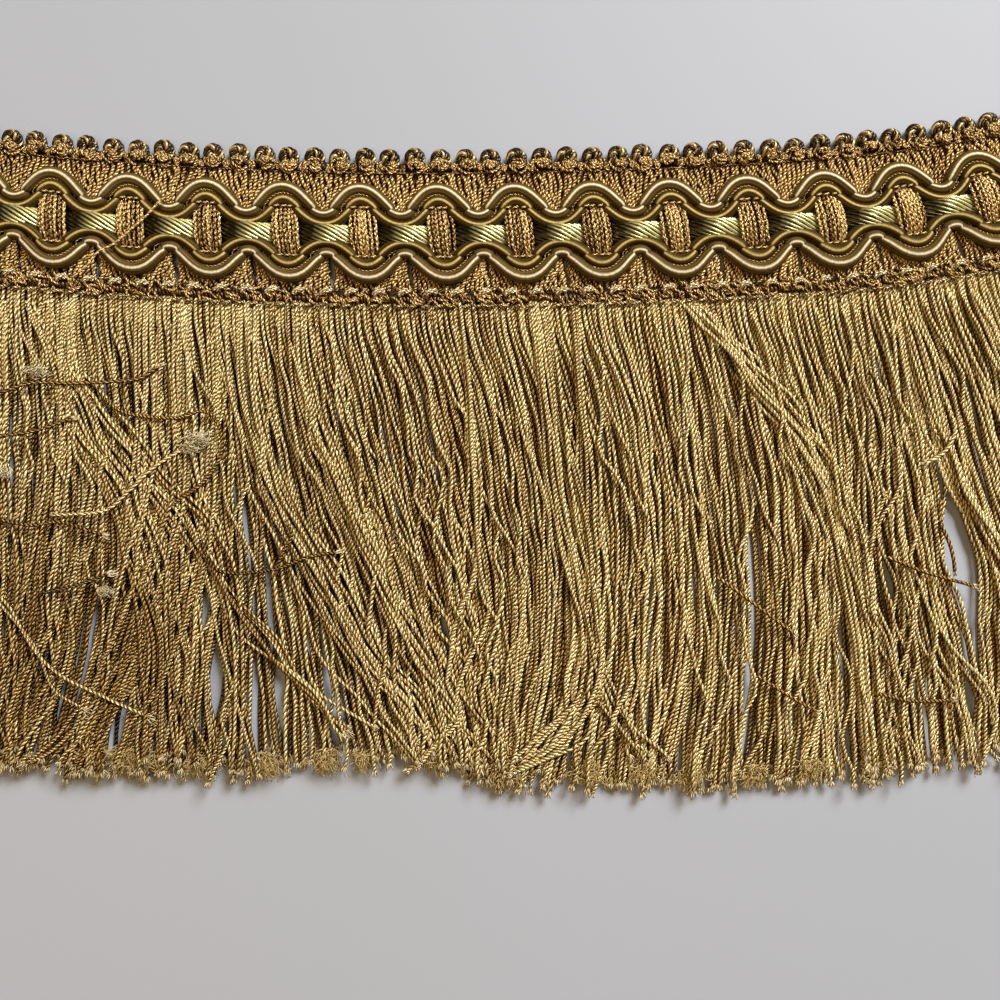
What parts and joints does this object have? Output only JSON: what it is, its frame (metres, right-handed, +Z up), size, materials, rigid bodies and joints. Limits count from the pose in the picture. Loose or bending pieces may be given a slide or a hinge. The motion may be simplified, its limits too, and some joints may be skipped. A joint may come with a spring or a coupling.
{
  "type": "cord fringe trim",
  "caption": "Flat cut length of furnishing trim: a woven heading with looped edge, waved gimp straps and ribbed bars over a twisted centre cord, and a long skirt of twisted cords.",
  "frame": {"origin": "middle of the heading's flat back, on the surface that the trim lies on", "axes": "+X along the trim, +Y from the cord tips towards the looped edge of the heading, +Z up out of the face"},
  "size_m": [0.209, 0.1117, 0.0037],
  "materials": {
    "tan_yarn": "tan and gold twisted yarn with a soft sheen",
    "olive_satin": "satin-wrapped olive brown gimp cord with a bright line of light along it",
    "lime_satin": "loosely twisted pale lime satin strands",
    "gold_cord": "shiny gold two-ply twisted cord"
  },
  "bodies": {
    "root": {"heading_ground": "tan_yarn", "picot_edge": "tan_yarn", "upper_gimp": "olive_satin", "lower_gimp": "olive_satin", "centre_twist": "lime_satin", "bar_01": "tan_yarn", "bar_02": "tan_yarn", "bar_03": "tan_yarn", "bar_04": "tan_yarn", "bar_05": "tan_yarn", "bar_06": "tan_yarn", "bar_07": "tan_yarn", "bar_08": "tan_yarn", "bar_09": "tan_yarn", "bar_10": "tan_yarn", "bar_11": "tan_yarn", "bar_12": "tan_yarn", "bar_13": "tan_yarn", "bar_14": "tan_yarn", "bar_15": "tan_yarn", "fringe": "gold_cord"}
  },
  "joints": []
}
